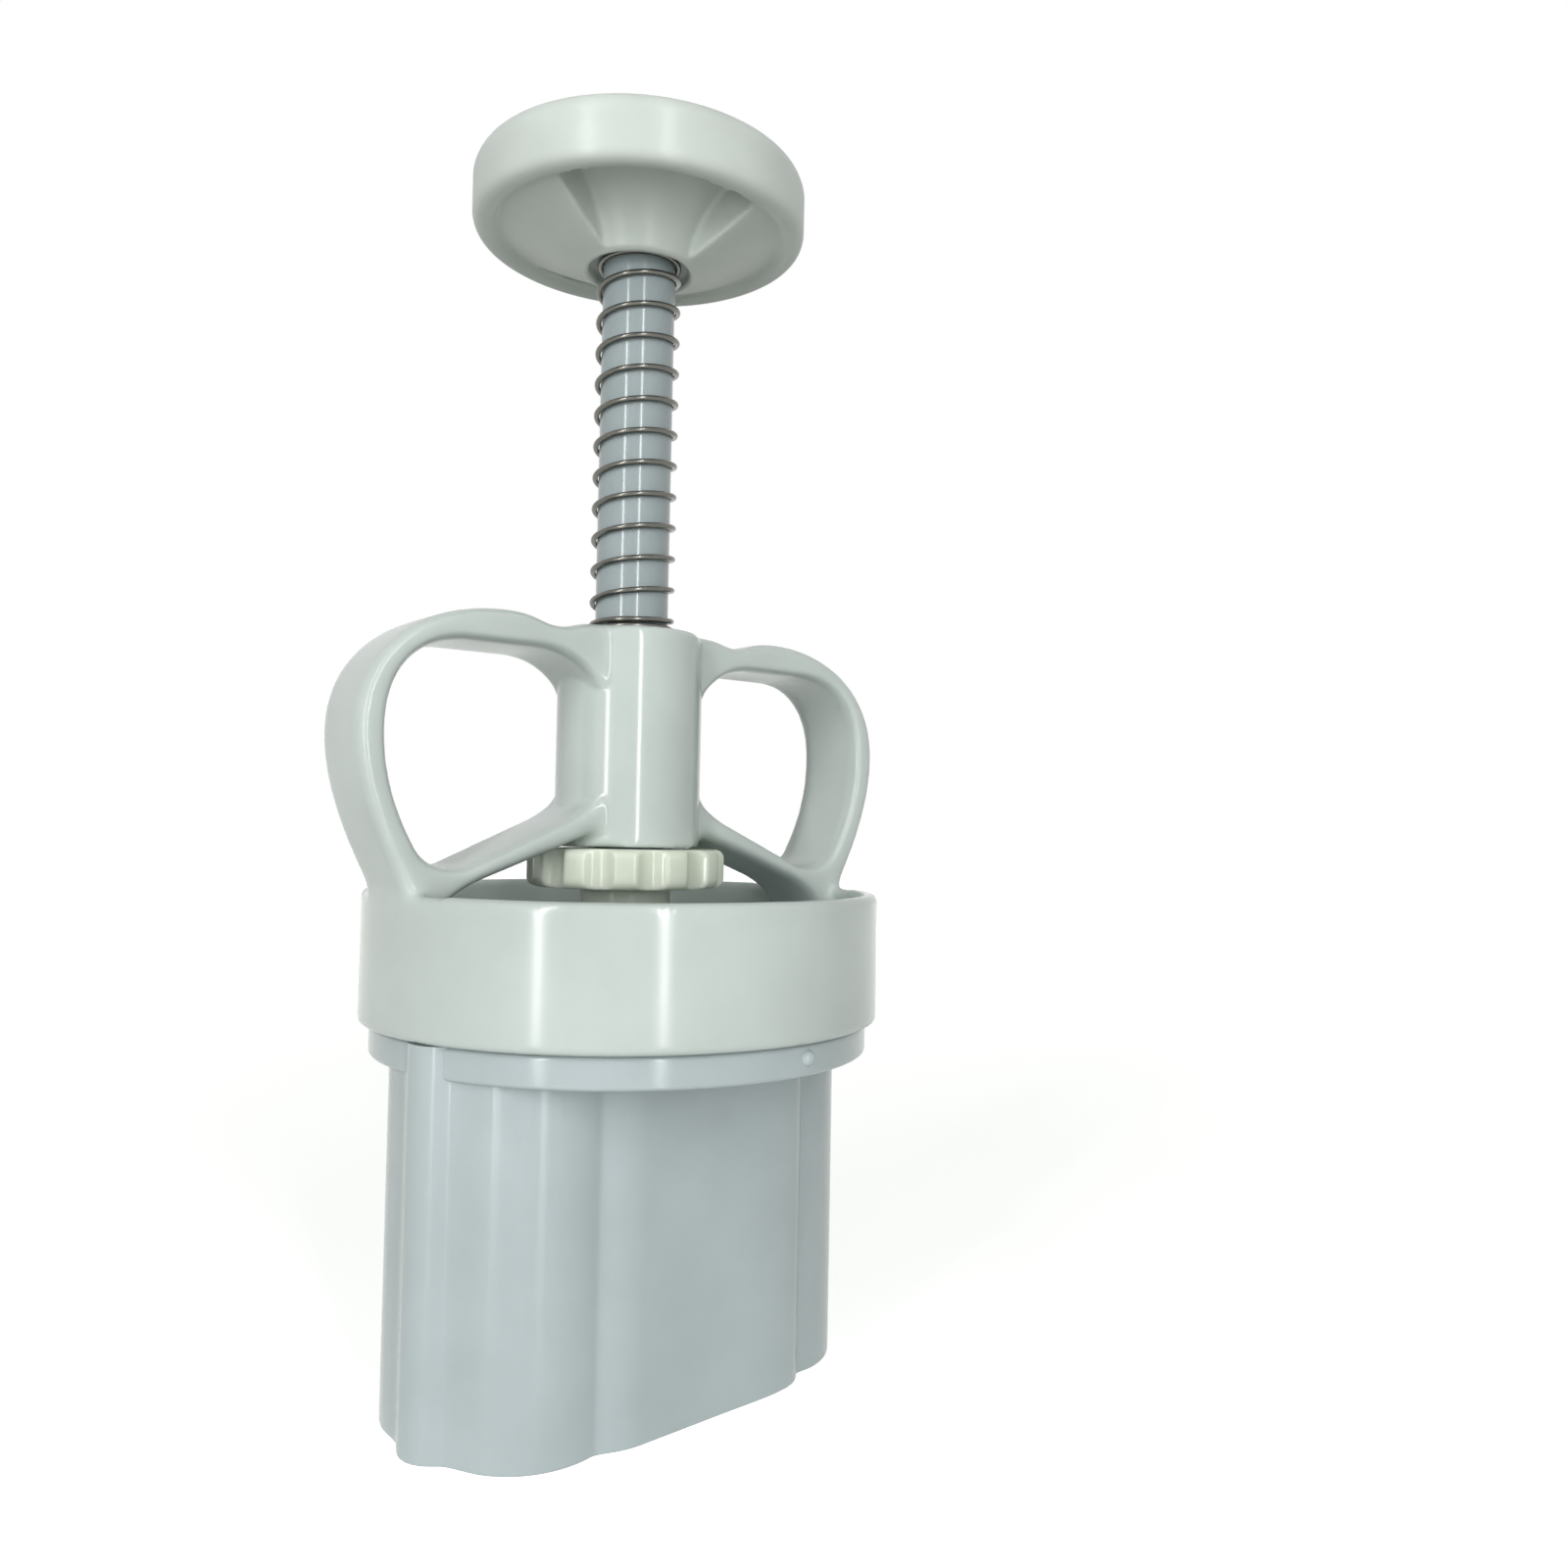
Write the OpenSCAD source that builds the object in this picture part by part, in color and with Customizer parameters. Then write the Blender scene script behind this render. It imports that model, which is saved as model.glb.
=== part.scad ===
// Mooncake press: a hand plunger with two finger loops, a twist-lock lantern mould and a stamp.
// Frame: origin on the press axis in the plane of the mould's mouth, +Z up to the palm knob,
// and +X in the plane of the finger loops, on the side of the lantern's large dome.

/* [Mould] */
// Length of the lantern stamp, tip to tip
stamp_l = 62.6; // [62:0.1:62.8]
// Height of the straight lantern tube below its flange
tube_h = 43.1; // [38:0.1:50]
// Wall of the lantern tube
tube_wall = 1.6; // [1.4:0.1:1.7]
// Gap between the stamp and the tube, all round
stamp_gap = 0.3; // [0.2:0.05:0.4]
// Radius of the round flange
flange_r = 32.8; // [32.8:0.1:33.4]
// Thickness of the round flange
flange_t = 3.9; // [3:0.1:5]
// Turn of the lantern from the plane of the finger loops when locked, degrees
lantern_turn = 14.4; // [0:0.1:20]

/* [Stamp] */
// Whole thickness of the stamp, its rim lip included
stamp_t = 6; // [5:0.1:7]
// Depth of the sunk field inside the rim lip
field_d = 1.6; // [1:0.1:2]
// Width of the rim lip
lip_w = 1.4; // [1:0.1:2]
// Height of the stamp's face above the mouth when the knob is up
stamp_face_z = 36; // [34:0.5:37]

/* [Handle] */
// Outer radius of the cap ring over the mould
ring_r = 34.2; // [34.2:0.1:35]
// Height of the cap ring
ring_h = 16.8; // [16:0.1:18]
// Outer radius of the guide sleeve
sleeve_r = 9.8; // [9.4:0.1:10]
// Height of the sleeve's lower end above the cap ring
sleeve_lift = 5.7; // [5.7:0.1:6.2]
// Length of the guide sleeve
sleeve_l = 29; // [28.5:0.1:29.5]
// Depth of the finger loops' band, front to back
loop_d = 13.4; // [10:0.1:14]

/* [Plunger] */
// Radius of the plunger rod
rod_r = 4.95; // [4.8:0.05:4.95]
// Height of the hub's mouth above the sleeve, the room for the spring
spring_room = 50.1; // [48:0.1:54]
// Radius of the palm knob
knob_r = 22.7; // [21:0.1:25]
// Height of the palm knob's rim
rim_h = 9.3; // [8.5:0.1:11]
// Height of the rim's lower edge above the hub's mouth
hub_drop = 4.5; // [4:0.1:5.5]
// Radius of the thickness nut over its lobes
nut_r = 13.3; // [12:0.1:13.4]
// Depth of the grooves between the nut's lobes
nut_groove = 1.1; // [0.6:0.1:1.3]
// Number of lobes on the nut
nut_lobes = 12; // [8:1:16]

/* [Spring] */
// Outer diameter of the spring
spring_od = 11.9; // [11.9:0.05:12.6]
// Diameter of the spring's wire
wire_d = 0.6; // [0.5:0.05:0.6]
// Number of curls, the two closed end curls included
curls = 13; // [10:1:16]
// Rise of a closed end curl
end_rise = 1.4; // [1.4:0.05:2]

/* [Hidden] */

ROUND = 64;
CURVE_STEPS = 6;
EPS = 0.01;
RUN = 0.05; // running fit, on the radius
SEAT = 0.02; // pressed pieces, on the radius

MILK = "#d3dad6";
CLEAR_MILK = "#c5cbb4";
STEEL = "#a9adb0";

// ---- heights along the axis ----
flange_top = tube_h + flange_t;
ring_z = flange_top + 0.2;
ring_top = ring_z + ring_h;
sleeve_z = ring_top + sleeve_lift;
sleeve_top = sleeve_z + sleeve_l;
hub_z = sleeve_top + spring_room;
hub_seat_z = hub_z + 1.7;
rim_z = hub_z + hub_drop;
knob_top = rim_z + rim_h;
nut_h = 5.2;
nut_z = sleeve_z - 0.2 - nut_h;
stamp_back = stamp_face_z + stamp_t;
foot_z = stamp_back + 0.2;
foot_t = 4;
rod_foot_z = foot_z + foot_t;

// ---- outlines ----
function unit(v) = v / norm(v);
function bezier(p, steps = CURVE_STEPS) = [
    for (i = [0:steps - 1])
        let (t = i / steps, s = 1 - t)
            s * s * s * p[0] + 3 * s * s * t * p[1] + 3 * s * t * t * p[2] + t * t * t * p[3]
];
function arc(centre, r, from, to, steps = 5) = [
    for (i = [0:steps])
        let (a = from + (to - from) * i / steps)
            centre + r * [cos(a), sin(a)]
];
// A closed outline, drawn anticlockwise, moved outwards by d
function grown(points, d) = [
    for (i = [0:len(points) - 1])
        let (
            n = len(points),
            before = unit(points[i] - points[(i + n - 1) % n]),
            after = unit(points[(i + 1) % n] - points[i]),
            bisector = unit([before.y + after.y, -before.x - after.x])
        )
            points[i] + d / (bisector * [after.y, -after.x]) * bisector
];
// One side of a shape from its +X tip to its -X end, closed by its own mirror image
function both_sides(side, end) = concat(
    side, [end], [for (i = [len(side) - 1:-1:1]) [side[i].x, -side[i].y]]
);

// The lantern, measured from the tip of its large dome to the tip of its small one
DOME_TIP = stamp_l / 2 - 0.8;
FOOT_TIP = DOME_TIP - stamp_l;
NECK = 17.4; // where the large dome meets the body
BODY_END = 44.3;
WAIST = 50.2; // where the body meets the small dome
OGEE = stamp_l - 3.4; // where the small dome runs out into its tip
LANTERN_HALF = [
    each bezier([[0, 0], [0, 1.5], [0.75, 2.6], [1.9, 4.3]], 4),
    each bezier([[1.9, 4.3], [3, 5.9], [4, 9.6], [4.9, 12.1]]),
    each bezier([[4.9, 12.1], [5.8, 14.6], [8.6, 18.9], [13.8, 19.2]], 8),
    each bezier([[13.8, 19.2], [15.2, 19.2], [NECK - 1.6, 18.8], [NECK, 18.8]], 4),
    each bezier([[NECK, 18.8], [NECK + 1.6, 18.8], [19.3, 20.3], [21.4, 20.35]]),
    each bezier([[21.4, 20.35], [24.5, 20.45], [28, 19.4], [33.5, 18.35]]),
    each bezier([[BODY_END, 16.3], [BODY_END + 2.9, 15.75], [WAIST - 1.8, 13.75], [WAIST, 13.75]]),
    each bezier([[WAIST, 13.75], [54, 13.9], [57.4, 12.1], [OGEE, 8.4]], 8),
    each bezier([[OGEE, 8.4], [OGEE + 0.8, 6.8], [OGEE + 0.9, 3.9], [OGEE + 2.1, 2.5]]),
    each bezier([[OGEE + 2.1, 2.5], [OGEE + 2.7, 1.8], [stamp_l, 1], [stamp_l, 0]], 4)
];
LANTERN = both_sides([for (p = LANTERN_HALF) [DOME_TIP - p.x, p.y]], [FOOT_TIP, 0]);

// Cast ornaments of the stamp: a domed drop, drawn with its point towards +X
function drop(l, w) = both_sides([
    each bezier([[l, 0], [0.86 * l, 0.02 * w], [0.76 * l, 0.22 * w], [0.64 * l, 0.36 * w]]),
    each bezier([[0.64 * l, 0.36 * w], [0.42 * l, 0.55 * w], [0.2 * l, 0.5 * w], [0, 0.47 * w]]),
    [0, 0.47 * w]
], [0, 0]);
function pillar(l, w_head, w_foot, slant) = [
    [0, -w_foot / 2], [l, slant - w_head / 2], [l + 1.6, slant], [l, slant + w_head / 2],
    [0, w_foot / 2]
];

module lantern(grow = 0) rotate(lantern_turn) polygon(grown(LANTERN, grow));
// The sunk field of the stamp, inside its rim lip
module field() offset(delta = -lip_w) polygon(LANTERN);
module revolve(profile) rotate_extrude($fn = ROUND) polygon(profile);
// A piece of a ring, its middle at the given angle
module sector(profile, middle, span)
    rotate([0, 0, middle - span / 2]) rotate_extrude(angle = span, $fn = ROUND) polygon(profile);
function block(r0, r1, z0, z1) = [[r0, z0], [r1, z0], [r1, z1], [r0, z1]];
module rod(r, z0, z1) translate([0, 0, z0]) cylinder(r = r, h = z1 - z0, $fn = ROUND);

// ---- twist lock between the mould and the handle ----
LUGS = 4;
lock_turn = 24;
lug_span = 18;
entry_span = 20;
stop_span = 3;
neck_r = 30.2;
neck_in = 28.4;
neck_h = 8;
lug_r = neck_r + 1.5;
ring_in = 32.2;
ledge_in = neck_r + 0.4;
ledge_z = ring_z + 0.6;
ledge_top = ledge_z + 3;
lug_z = ledge_top + 0.25;
lug_h = 2.6;
function lug_angle(i) = lantern_turn + 45 + i * 360 / LUGS;

// ---- mould ----
tube_grow = stamp_gap + tube_wall;
pip_angle = -80;

module mould_barrel() color(MILK) difference() {
    union() {
        // the small dome's tip stands a little proud of the flange, up to its top
        linear_extrude(flange_top - EPS) lantern(tube_grow);
        revolve(concat(
            [[0, tube_h]],
            arc([flange_r - 0.5, tube_h + 0.5], 0.5, -90, 0, 3),
            arc([flange_r - 0.4, flange_top - 0.4], 0.4, 0, 90, 3),
            [[0, flange_top]]
        ));
        revolve(block(neck_in, neck_r, flange_top - 1, flange_top + neck_h));
        for (i = [0:LUGS - 1])
            sector(block(neck_r - 0.5, lug_r, lug_z, lug_z + lug_h), lug_angle(i), lug_span);
        // the small pip that marks the locked position
        rotate([0, 0, pip_angle])
            translate([flange_r - 1, 0, tube_h + 2.2])
                rotate([0, 90, 0]) cylinder(r = 0.9, h = 1.4, $fn = 24);
    }
    translate([0, 0, -EPS]) linear_extrude(flange_top + neck_h + 2) lantern(stamp_gap);
}

// ---- handle: cap ring, finger loops and guide sleeve, one moulding ----
loop_r = 39.8;
loop_mid = ring_top + 19.5;
loop_top = sleeve_top + 0.65;
dip_z = sleeve_top - 0.9;
arm_z = ring_top + 5.8;
window_top = ring_top + 30.7;
// Outline of a loop in the XZ plane, from the sleeve's top round to the underside of its arm
LOOP_OUTER = [
    [-1, sleeve_top - 0.5],
    each bezier([[9.4, sleeve_top - 0.5], [11, dip_z], [12, dip_z], [13.5, dip_z]], 3),
    each bezier([[13.5, dip_z], [17, dip_z], [18, loop_top], [23, loop_top]], 4),
    each bezier([[23, loop_top], [30.5, loop_top], [loop_r, loop_top - 6.5], [loop_r, loop_mid]], 10),
    each bezier([[loop_r, loop_mid], [loop_r, ring_top + 12.5], [ring_r + 2.6, ring_top + 6.5],
        [ring_r - 0.9, ring_top - 0.8]], 8),
    [ring_r - 0.9, ring_top - 7],
    each bezier([[ring_in - 0.6, ring_top - 7], [29, ring_top - 2.5], [26, ring_top + 0.6],
        [23, ring_top + 1.85]]),
    [13.6, arm_z], [-1, arm_z]
];
// Opening for the fingers, from its lower outer corner up, across and down along the sleeve
LOOP_WINDOW = [
    each bezier([[25.5, ring_top + 3.5], [27.5, ring_top + 2.9], [30.6, ring_top + 3],
        [32.3, ring_top + 5.5]], 5),
    each bezier([[32.3, ring_top + 5.5], [34, ring_top + 8.5], [36.3, ring_top + 13],
        [36.3, loop_mid]], 8),
    each bezier([[36.3, loop_mid], [36.3, ring_top + 26], [33, window_top], [25.5, window_top]], 10),
    each bezier([[17, window_top], [12.5, window_top], [7.9, ring_top + 29.8], [7, ring_top + 24]]),
    each bezier([[7, ring_top + 16], [7.2, ring_top + 12.5], [9.5, ring_top + 10.4],
        [13.9, ring_top + 8.5]])
];

module finger_loop() rotate([90, 0, 0])
    linear_extrude(loop_d, center = true) difference() {
        polygon(LOOP_OUTER);
        polygon(LOOP_WINDOW);
    }

module handle_body() color(MILK) difference() {
    union() {
        revolve(concat(
            [[ring_in, ring_z]],
            arc([ring_r - 0.7, ring_z + 0.7], 0.7, -90, 0, 3),
            arc([ring_r - 1.1, ring_top - 1.1], 1.1, 0, 90),
            [[ring_in, ring_top]]
        ));
        for (i = [0:LUGS - 1]) {
            gap = lug_angle(i) + lock_turn;
            sector(block(ledge_in, ring_in + 0.5, ledge_z, ledge_top),
                gap + 180 / LUGS, 360 / LUGS - entry_span);
            // stops for the lug at the ends of its turn
            for (at = [lug_angle(i) - (lug_span + stop_span) / 2 - 1,
                       gap + (entry_span + stop_span) / 2 + 0.3])
                sector(block(ledge_in + 0.1, ring_in + 0.5, ledge_top - 0.5, lug_z + lug_h),
                    at, stop_span);
        }
        revolve(concat(
            [[0, sleeve_z], [sleeve_r, sleeve_z]],
            arc([sleeve_r - 0.8, sleeve_top - 0.8], 0.8, 0, 90, 3),
            [[0, sleeve_top]]
        ));
        finger_loop();
        mirror([1, 0, 0]) finger_loop();
    }
    rod(rod_r + RUN, sleeve_z - 5, sleeve_top + 5);
}

// ---- thickness nut ----
lobe_turn = -2;
groove_r = 2.6;
collar_r = 6.1; // the nut's lower collar, round the rod
collar_h = 3;
module thickness_nut() color(CLEAR_MILK) difference() {
    revolve(concat(
        [[rod_r + RUN, nut_z - collar_h], [collar_r, nut_z - collar_h], [collar_r, nut_z]],
        arc([nut_r - 1.2, nut_z + 1.2], 1.2, -90, 0),
        arc([nut_r - 1.2, nut_z + nut_h - 1.2], 1.2, 0, 90),
        [[rod_r + RUN, nut_z + nut_h]]
    ));
    for (i = [0:nut_lobes - 1])
        rotate([0, 0, lobe_turn + (i + 0.5) * 360 / nut_lobes])
            translate([nut_r + groove_r - nut_groove, 0, nut_z - 1])
                cylinder(r = groove_r, h = nut_h + 2, $fn = 32);
}

// ---- palm knob, its screw and its plug ----
hub_r = 7.8;
mouth_r = 6.95; // recess in the hub round the spring's end
lip_in = knob_r - 3.1;
pocket_turn = -27;
pocket_span = 86;
socket_top = hub_seat_z + 7;
plug_r = 5;
plug_t = 1.4;
head_r = 3.4;
head_t = 2.4;
shank_r = 1.6;

module knob_pocket() sector(concat(
    [[hub_r + 0.6, hub_z - 1], [hub_r + 0.6, hub_z + 1]],
    bezier([[hub_r + 1.6, hub_z + 3.4], [hub_r + 4, hub_z + 8], [lip_in - 2.5, rim_z + 7],
        [lip_in - 1.1, rim_z + 4.4]]),
    [[lip_in - 0.9, rim_z + 2], [lip_in - 0.9, hub_z - 1]]
), 0, pocket_span);

module palm_knob() color(MILK) difference() {
    revolve(concat(
        [[0, hub_z], [hub_r, hub_z]],
        bezier([[hub_r, hub_z], [hub_r + 3, hub_z + 1], [lip_in - 3, rim_z - 0.2],
            [lip_in, rim_z + 1.1]]),
        [[lip_in, rim_z + 1.1]],
        arc([lip_in + 0.9, rim_z + 0.9], 0.9, 180, 270, 3),
        arc([knob_r - 1.4, rim_z + 1.4], 1.4, -90, 0),
        arc([knob_r - 2.6, knob_top - 2.6], 2.6, 0, 80),
        [[0, knob_top + 0.6]]
    ));
    for (side = [0, 180]) rotate([0, 0, pocket_turn + side]) knob_pocket();
    rod(mouth_r, hub_z - 1, hub_seat_z);
    rod(rod_r + SEAT, hub_z, socket_top);
    rod(shank_r + 0.2, socket_top - 1, knob_top + 2);
    rod(head_r + 0.2, knob_top + 0.6 - plug_t - head_t - 0.2, knob_top + 2);
    rod(plug_r + SEAT, knob_top + 0.6 - plug_t, knob_top + 2);
}

module knob_plug() color(MILK) revolve([
    [0, knob_top + 0.6 - plug_t], [plug_r, knob_top + 0.6 - plug_t],
    [plug_r, knob_top + 0.3], [plug_r - 0.4, knob_top + 0.5], [0, knob_top + 0.6]
]);

// A pan-head screw hung head up at z, its head's seat at that height
module screw(seat_z, l) difference() {
    union() {
        revolve(concat(
            [[0, seat_z], [head_r, seat_z]],
            arc([head_r - 1, seat_z + head_t - 1], 1, 0, 90, 4),
            [[0, seat_z + head_t]]
        ));
        rod(shank_r - 0.15, seat_z - l + 1.5, seat_z + EPS);
        translate([0, 0, seat_z - l])
            cylinder(r1 = 0.3, r2 = shank_r - 0.15, h = 1.5 + EPS, $fn = ROUND);
        for (i = [0:floor((l - 3) / 1.3)])
            revolve([
                [shank_r - 0.4, seat_z - l + 1.8 + i * 1.3 - 0.4],
                [shank_r, seat_z - l + 1.8 + i * 1.3],
                [shank_r - 0.4, seat_z - l + 1.8 + i * 1.3 + 0.4]
            ]);
    }
    // cross recess
    for (a = [0, 90]) rotate([0, 0, a])
        translate([-1.8, -0.35, seat_z + head_t - 1.3]) cube([3.6, 0.7, 2]);
}

knob_screw_seat = knob_top + 0.6 - plug_t - head_t - 0.2;
knob_screw_l = 15;
module knob_screw() color(STEEL) screw(knob_screw_seat, knob_screw_l);

// ---- plunger rod ----
thread_top = sleeve_z + 6;
thread_pitch = 2.5;
pilot_r = shank_r + SEAT;

module plunger_rod() color(MILK) difference() {
    rod(rod_r, rod_foot_z, socket_top - SEAT);
    // thread for the nut, drawn as rings
    for (z = [rod_foot_z + 3:thread_pitch:thread_top])
        revolve([[rod_r - 0.6, z], [rod_r + 1, z - 0.9], [rod_r + 1, z + 0.9]]);
    rod(pilot_r, knob_screw_seat - knob_screw_l - 1, knob_top);
    rod(pilot_r, rod_foot_z - 1, rod_foot_z + foot_screw_l - 1);
}

// ---- plunger foot, its screw, and the stamp ----
foot_r = 9;
foot_flat = 7.4;
foot_screw_l = 12;
foot_screw_seat = foot_z + head_t + 0.1;
boss_r = 11.2;
boss_h = 4.2;

// A disc with two flats, which keys the stamp to the foot
module flatted(r, flat) intersection() {
    circle(r = r, $fn = ROUND);
    square([4 * r, 2 * flat], center = true);
}

module plunger_foot() color(MILK) difference() {
    translate([0, 0, foot_z]) linear_extrude(foot_t)
        rotate(lantern_turn) flatted(foot_r, foot_flat);
    rod(shank_r + SEAT, foot_z - 1, rod_foot_z + 1);
    rod(head_r + SEAT, foot_z - 1, foot_screw_seat);
}

module foot_screw() color(STEEL)
    translate([0, 0, foot_screw_seat]) mirror([0, 0, 1]) screw(0, foot_screw_l);

// Part of the pattern that stands up from the sunk field
module raised(tall) translate([0, 0, stamp_face_z + field_d - tall])
    linear_extrude(tall + EPS) rotate(lantern_turn) children();
// A drop with its root at x, pointing to the large dome (way = 0) or to the small one (way = 1)
module placed_drop(x, way, l, w, grow = 0) translate([x, 0]) mirror([way, 0])
    offset(delta = grow) polygon(drop(l, w));
module drop_rib(x, way, l, w) difference() {
    placed_drop(x, way, l, w, rib_t / 2);
    placed_drop(x, way, l, w, -rib_t / 2);
}

rib_t = 0.9;
bar_t = 1.1;
rib_h = 0.9;
pillar_h = 1.3;
dome_bar = 11.9;
foot_bar = -15.8;
pillar_x = -12.4;
pillar_l = 19.8;

module stamp_relief() {
    // bars across the lantern's neck and foot
    raised(rib_h) intersection() {
        field();
        for (x = [dome_bar, foot_bar]) translate([x, 0]) square([bar_t, 2 * stamp_l], center = true);
    }
    // a drop with a rib round it in each dome
    raised(rib_h) drop_rib(dome_bar + 0.3, 0, 15.1, 19.4);
    raised(rib_h) placed_drop(dome_bar + 0.6, 0, 11.8, 12);
    raised(rib_h) drop_rib(foot_bar - 0.3, 1, 10.8, 14);
    raised(rib_h - 0.2) placed_drop(foot_bar - 0.5, 1, 7.6, 6.8);
    // three pointed pillars
    raised(pillar_h) translate([pillar_x, 0]) polygon(pillar(pillar_l, 6.4, 4.8, 0));
    for (side = [-1, 1])
        raised(pillar_h) translate([pillar_x, side * 8.1])
            polygon(pillar(pillar_l - 1, 4.4, 3.2, side * 1.8));
}

module stamp_plate() color(MILK) difference() {
    union() {
        difference() {
            translate([0, 0, stamp_face_z]) linear_extrude(stamp_t) lantern();
            translate([0, 0, stamp_face_z - EPS]) linear_extrude(field_d)
                rotate(lantern_turn) field();
        }
        stamp_relief();
        rod(boss_r, stamp_back - EPS, stamp_back + boss_h);
    }
    // socket for the foot
    translate([0, 0, foot_z - 0.2]) linear_extrude(20)
        rotate(lantern_turn) flatted(foot_r + 0.1, foot_flat + 0.1);
}

// ---- return spring ----
RINGS = 8;
WIRE_SIDES = 6;
// The wire's flats face the rod, and the coil's corners stand out so that its chords clear it
spring_r = spring_od / 2 - wire_d / 2 * cos(180 / WIRE_SIDES);
spring_z0 = sleeve_top + wire_d / 2 + 0.05;
spring_z1 = hub_seat_z - wire_d / 2 - 0.05;
mid_rise = (spring_z1 - spring_z0 - 2 * end_rise) / (curls - 2);
spring_start = -158;
// Height of the wire's centre after n curls
function spring_z(n) =
    spring_z0 + end_rise * (min(n, 1) + max(n - curls + 1, 0))
        + mid_rise * max(min(n - 1, curls - 2), 0);
function spring_point(n) =
    let (a = spring_start + 360 * n) [spring_r * cos(a), spring_r * sin(a), spring_z(n)];
function spring_way(n) = let (a = spring_start + 360 * n) [-sin(a), cos(a), 0];
// Centre line, with one straight wire diameter at each end
SPRING_PATH = concat(
    [spring_point(0) - wire_d * spring_way(0)],
    [for (i = [0:curls * RINGS]) spring_point(i / RINGS)],
    [spring_point(curls) + wire_d * spring_way(curls)]
);
LAST = len(SPRING_PATH) - 1;
function ring_at(i) =
    let (
        way = unit(SPRING_PATH[min(i + 1, LAST)] - SPRING_PATH[max(i - 1, 0)]),
        side = unit(cross(way, [0, 0, 1])),
        up = cross(side, way)
    )
        [for (k = [0:WIRE_SIDES - 1])
            let (a = 360 * (k + 0.5) / WIRE_SIDES)
                SPRING_PATH[i] + wire_d / 2 * (cos(a) * side + sin(a) * up)];
SPRING_GAP = min([
    for (i = [0:LAST], j = [i + RINGS - 2:i + RINGS + 2])
        if (j <= LAST) norm(SPRING_PATH[i] - SPRING_PATH[j]) - wire_d
]);
echo(least_gap_of_the_spring_to_itself_mm = SPRING_GAP);

module return_spring() color(STEEL) polyhedron(
    points = [for (i = [0:LAST]) each ring_at(i)],
    faces = concat(
        [for (k = [1:WIRE_SIDES - 2]) [0, k, k + 1]],
        [for (i = [0:LAST - 1], k = [0:WIRE_SIDES - 1]) each
            let (a = i * WIRE_SIDES + k, b = i * WIRE_SIDES + (k + 1) % WIRE_SIDES)
                [[a, a + WIRE_SIDES, b], [b, a + WIRE_SIDES, b + WIRE_SIDES]]],
        [for (k = [1:WIRE_SIDES - 2])
            let (e = LAST * WIRE_SIDES) [e, e + k + 1, e + k]]
    )
);

palm_knob();
knob_plug();
knob_screw();
plunger_rod();
return_spring();
handle_body();
thickness_nut();
mould_barrel();
plunger_foot();
foot_screw();
stamp_plate();
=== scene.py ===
"""Shapes and finishes of a mooncake press, modelled round its construction frame."""

import math

import bmesh
import bpy
from bpy.props import FloatProperty, FloatVectorProperty, IntProperty, PointerProperty
from mathutils import Matrix, Vector


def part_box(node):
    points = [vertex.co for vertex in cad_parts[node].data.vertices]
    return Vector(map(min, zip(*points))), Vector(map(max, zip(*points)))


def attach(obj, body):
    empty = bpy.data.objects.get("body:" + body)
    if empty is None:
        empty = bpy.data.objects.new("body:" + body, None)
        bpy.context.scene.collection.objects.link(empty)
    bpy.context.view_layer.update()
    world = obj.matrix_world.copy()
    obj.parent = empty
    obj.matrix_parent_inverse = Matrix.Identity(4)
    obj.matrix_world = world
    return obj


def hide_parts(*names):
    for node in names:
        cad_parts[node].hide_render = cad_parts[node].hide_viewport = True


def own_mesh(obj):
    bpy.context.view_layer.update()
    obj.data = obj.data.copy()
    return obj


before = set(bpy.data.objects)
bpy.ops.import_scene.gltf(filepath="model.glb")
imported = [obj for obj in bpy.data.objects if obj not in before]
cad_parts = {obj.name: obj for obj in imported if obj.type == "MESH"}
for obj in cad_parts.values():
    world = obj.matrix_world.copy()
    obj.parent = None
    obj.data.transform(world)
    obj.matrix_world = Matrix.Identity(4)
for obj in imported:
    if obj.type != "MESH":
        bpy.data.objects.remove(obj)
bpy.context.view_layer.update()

bl_info = {
    "name": "Mooncake Press",
    "version": (1, 0, 0),
    "blender": (4, 5, 0),
    "location": "3D View > Sidebar > Press",
    "description": "Models the shells, the spring and the stamp of a mooncake press",
    "category": "Object",
}

MM = 0.001
TURN = math.tau

# the camera, in millimetres and degrees
CAMERA_PLACE = (-92.9, -148.6, 72.2)
CAMERA_PAN, CAMERA_PITCH, CAMERA_ROLL = 39, 2.115, 1.03
CAMERA_LENS, CAMERA_SENSOR = 29.25, 36

# the twist lock, in degrees: lugs on the mould, ledges and stops in the cap
LUGS = 4
LUG_MIDDLE, LUG_SPAN = 45, 18
UNLOCK_TURN = 24


def node_low(node):
    """Height of a frame node's lowest point, in metres."""
    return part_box(node)[0].z


def node_high(node):
    """Height of a frame node's highest point, in metres."""
    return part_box(node)[1].z


# ---------------- settings


def height_of(label, description, metres):
    """A height that the frame gives, or any size in metres."""
    return FloatProperty(name=label, description=description, default=metres, unit="LENGTH")


def length(label, description, default_mm):
    """A size of the object, given in millimetres and kept in metres."""
    return height_of(label, description, default_mm * MM)


def degrees(label, description, default_deg):
    """An angle of the object, given in degrees."""
    return FloatProperty(
        name=label, description=description, default=math.radians(default_deg), subtype="ANGLE"
    )


def linear(hex_code):
    """An sRGB colour such as "#d3dad6" as linear red, green, blue and alpha."""
    channels = [int(hex_code[i:i + 2], 16) / 255 for i in (1, 3, 5)]
    return tuple(
        c / 12.92 if c <= 0.04045 else ((c + 0.055) / 1.055) ** 2.4 for c in channels
    ) + (1,)


def colour(label, description, hex_code):
    """A colour of the object."""
    return FloatVectorProperty(
        name=label, description=description, default=linear(hex_code), size=4,
        min=0, max=1, subtype="COLOR",
    )


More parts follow.
